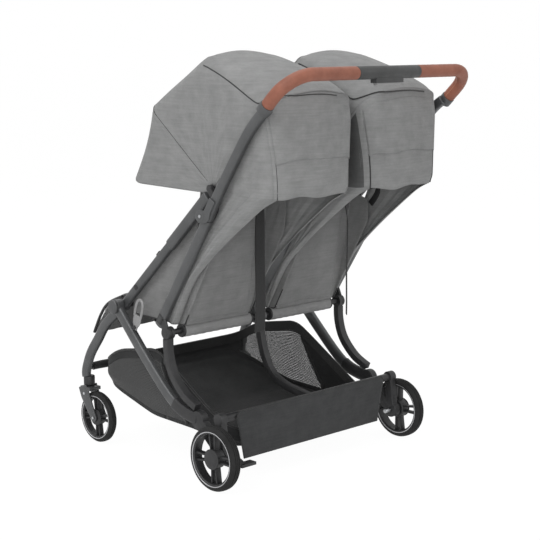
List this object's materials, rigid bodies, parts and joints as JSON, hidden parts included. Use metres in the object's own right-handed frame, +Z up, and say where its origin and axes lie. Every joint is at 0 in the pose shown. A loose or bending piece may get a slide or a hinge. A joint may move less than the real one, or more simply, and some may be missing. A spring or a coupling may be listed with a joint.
{
  "type": "side by side double stroller",
  "caption": "Folding side by side double stroller with reclining seats, folding hoods, swivel front wheels, a wide basket and one push handle.",
  "frame": {"origin": "on the floor, below the middle of the overall box", "axes": "+Z up, +Y towards the handle end, +X towards the stroller's left"},
  "size_m": [0.754, 0.9054, 1.1157],
  "materials": {
    "frame": "satin",
    "black_plastic": "matte",
    "black_tube": "satin",
    "steel": "brushed",
    "tyre": "matte",
    "basket_cloth": "woven",
    "cloth": "heathered weave",
    "webbing": "woven",
    "leather": "stitched",
    "grey_plastic": "matte",
    "light_plastic": "matte"
  },
  "bodies": {
    "rear_frame": {"rear_leg_left": "frame", "rear_leg_right": "frame", "side_struts": "black_tube", "strut_centre": "black_tube", "rear_crossbar": "black_tube", "knuckle_axle": "black_tube", "knuckle_caps": "black_plastic", "axle_blocks": "black_plastic", "rear_axles": "steel", "basket": "basket_cloth", "basket_panel": "basket_cloth", "seat_base_left": "cloth", "seat_base_right": "cloth", "seat_side_fronts": "cloth", "harness_buckles": "black_plastic"},
    "front_frame": {"front_leg_left": "frame", "front_leg_right": "frame", "front_crossbar": "black_tube", "caster_sockets": "black_plastic"},
    "caster_left": {"caster_fork_left": "black_plastic"},
    "caster_right": {"caster_fork_right": "black_plastic"},
    "wheel_front_left": {"tyre_front_left": "tyre", "rim_front_left": "black_plastic"},
    "wheel_front_right": {"tyre_front_right": "tyre", "rim_front_right": "black_plastic"},
    "wheel_rear_left": {"tyre_rear_left": "tyre", "rim_rear_left": "black_plastic"},
    "wheel_rear_right": {"tyre_rear_right": "tyre", "rim_rear_right": "black_plastic"},
    "back_frame": {"push_tube_left": "frame", "push_tube_right": "frame", "centre_post": "frame", "roll_tube": "black_tube", "seat_rolls": "cloth", "canopy_lugs": "black_plastic", "recline_straps": "webbing", "seat_side_panels": "cloth", "canopy_left": "cloth", "canopy_right": "cloth", "canopy_rear_bows": "steel"},
    "handle_frame": {"handle_sides": "frame", "handle_bar": "frame", "handle_grips": "leather", "handle_centre": "grey_plastic", "handle_collars": "black_plastic"},
    "trigger": {"fold_trigger": "light_plastic"},
    "side_bars": {"side_bar_left": "frame", "side_bar_right": "frame"},
    "pedal": {"brake_pedal": "black_plastic"},
    "hook": {"storage_hook": "light_plastic"},
    "recline_left": {"seat_back_left": "cloth"},
    "recline_right": {"seat_back_right": "cloth"},
    "calf_left": {"calf_rest_left": "cloth"},
    "calf_right": {"calf_rest_right": "cloth"},
    "visor_left": {"visor_bow_left": "steel"},
    "mid_left": {"mid_bow_left": "steel"},
    "crown_left": {"crown_bow_left": "steel"},
    "visor_right": {"visor_bow_right": "steel"},
    "mid_right": {"mid_bow_right": "steel"},
    "crown_right": {"crown_bow_right": "steel"}
  },
  "joints": [
    {"name": "fold", "type": "hinge", "parent": "rear_frame", "child": "back_frame", "pos_m": [0, -0.02975, 0.376], "axis": [-1, 0, 0], "range_deg": [0, 80], "deforming": ["seat_side_fronts"]},
    {"name": "front_fold", "type": "hinge", "parent": "rear_frame", "child": "front_frame", "pos_m": [0, -0.24375, 0.418], "axis": [1, 0, 0], "range_deg": [0, 60], "deforming": ["basket"]},
    {"name": "handle_fold", "type": "hinge", "parent": "back_frame", "child": "handle_frame", "pos_m": [0, 0.11739, 0.70195], "axis": [1, 0, 0], "range_deg": [0, 172]},
    {"name": "side_bar_fold", "type": "hinge", "parent": "rear_frame", "child": "side_bars", "pos_m": [0, -0.24375, 0.418], "axis": [-1, 0, 0], "range_deg": [0, 47]},
    {"name": "caster_swivel_left", "type": "hinge", "parent": "front_frame", "child": "caster_left", "pos_m": [0.299, -0.42075, 0.17], "axis": [0, 0, 1], "continuous": true},
    {"name": "caster_swivel_right", "type": "hinge", "parent": "front_frame", "child": "caster_right", "pos_m": [-0.299, -0.42075, 0.17], "axis": [0, 0, 1], "continuous": true},
    {"name": "wheel_spin_front_left", "type": "hinge", "parent": "caster_left", "child": "wheel_front_left", "pos_m": [0.299, -0.37975, 0.073], "axis": [1, 0, 0], "continuous": true},
    {"name": "wheel_spin_front_right", "type": "hinge", "parent": "caster_right", "child": "wheel_front_right", "pos_m": [-0.299, -0.37975, 0.073], "axis": [1, 0, 0], "continuous": true},
    {"name": "wheel_spin_rear_left", "type": "hinge", "parent": "rear_frame", "child": "wheel_rear_left", "pos_m": [0.361, 0.18625, 0.085], "axis": [1, 0, 0], "continuous": true},
    {"name": "wheel_spin_rear_right", "type": "hinge", "parent": "rear_frame", "child": "wheel_rear_right", "pos_m": [-0.361, 0.18625, 0.085], "axis": [1, 0, 0], "continuous": true},
    {"name": "brake", "type": "hinge", "parent": "rear_frame", "child": "pedal", "pos_m": [0.309, 0.18625, 0.085], "axis": [1, 0, 0], "range_deg": [0, 22]},
    {"name": "storage_hook_turn", "type": "hinge", "parent": "rear_frame", "child": "hook", "pos_m": [0.334, -0.16376, 0.37201], "axis": [1, 0, 0], "range_deg": [0, 30]},
    {"name": "fold_trigger_press", "type": "slide", "parent": "handle_frame", "child": "trigger", "axis": [0, 0, 1], "range_m": [0, 0.005], "stiffness_N_per_m": 600, "springref_m": -0.001},
    {"name": "recline_left_turn", "type": "hinge", "parent": "back_frame", "child": "recline_left", "pos_m": [0.1675, -0.02975, 0.376], "axis": [-1, 0, 0], "range_deg": [0, 28], "deforming": ["recline_straps", "seat_side_panels"]},
    {"name": "calf_left_turn", "type": "hinge", "parent": "rear_frame", "child": "calf_left", "pos_m": [0.1675, -0.24375, 0.418], "axis": [-1, 0, 0], "range_deg": [0, 40]},
    {"name": "canopy_left_fold", "type": "hinge", "parent": "back_frame", "child": "visor_left", "pos_m": [0.162, 0.12039, 0.77], "axis": [-1, 0, 0], "range_deg": [0, 118], "deforming": ["canopy_left"]},
    {"name": "mid_bow_left_fold", "type": "hinge", "parent": "back_frame", "child": "mid_left", "pos_m": [0.162, 0.12039, 0.77], "axis": [-1, 0, 0], "range_deg": [0, 80.5]},
    {"name": "crown_bow_left_fold", "type": "hinge", "parent": "back_frame", "child": "crown_left", "pos_m": [0.162, 0.12039, 0.77], "axis": [-1, 0, 0], "range_deg": [0, 41]},
    {"name": "recline_right_turn", "type": "hinge", "parent": "back_frame", "child": "recline_right", "pos_m": [-0.1675, -0.02975, 0.376], "axis": [-1, 0, 0], "range_deg": [0, 28]},
    {"name": "calf_right_turn", "type": "hinge", "parent": "rear_frame", "child": "calf_right", "pos_m": [-0.1675, -0.24375, 0.418], "axis": [-1, 0, 0], "range_deg": [0, 40]},
    {"name": "canopy_right_fold", "type": "hinge", "parent": "back_frame", "child": "visor_right", "pos_m": [-0.162, 0.12039, 0.77], "axis": [-1, 0, 0], "range_deg": [0, 118], "deforming": ["canopy_right"]},
    {"name": "mid_bow_right_fold", "type": "hinge", "parent": "back_frame", "child": "mid_right", "pos_m": [-0.162, 0.12039, 0.77], "axis": [-1, 0, 0], "range_deg": [0, 80.5]},
    {"name": "crown_bow_right_fold", "type": "hinge", "parent": "back_frame", "child": "crown_right", "pos_m": [-0.162, 0.12039, 0.77], "axis": [-1, 0, 0], "range_deg": [0, 41]}
  ],
  "couplings": [
    {"joint": "front_fold", "follows": "fold", "ratio": 0.75},
    {"joint": "handle_fold", "follows": "fold", "ratio": 2.15},
    {"joint": "side_bar_fold", "follows": "fold", "ratio": 0.5875},
    {"joint": "mid_bow_left_fold", "follows": "canopy_left_fold", "ratio": 0.68},
    {"joint": "crown_bow_left_fold", "follows": "canopy_left_fold", "ratio": 0.345},
    {"joint": "mid_bow_right_fold", "follows": "canopy_right_fold", "ratio": 0.68},
    {"joint": "crown_bow_right_fold", "follows": "canopy_right_fold", "ratio": 0.345}
  ]
}
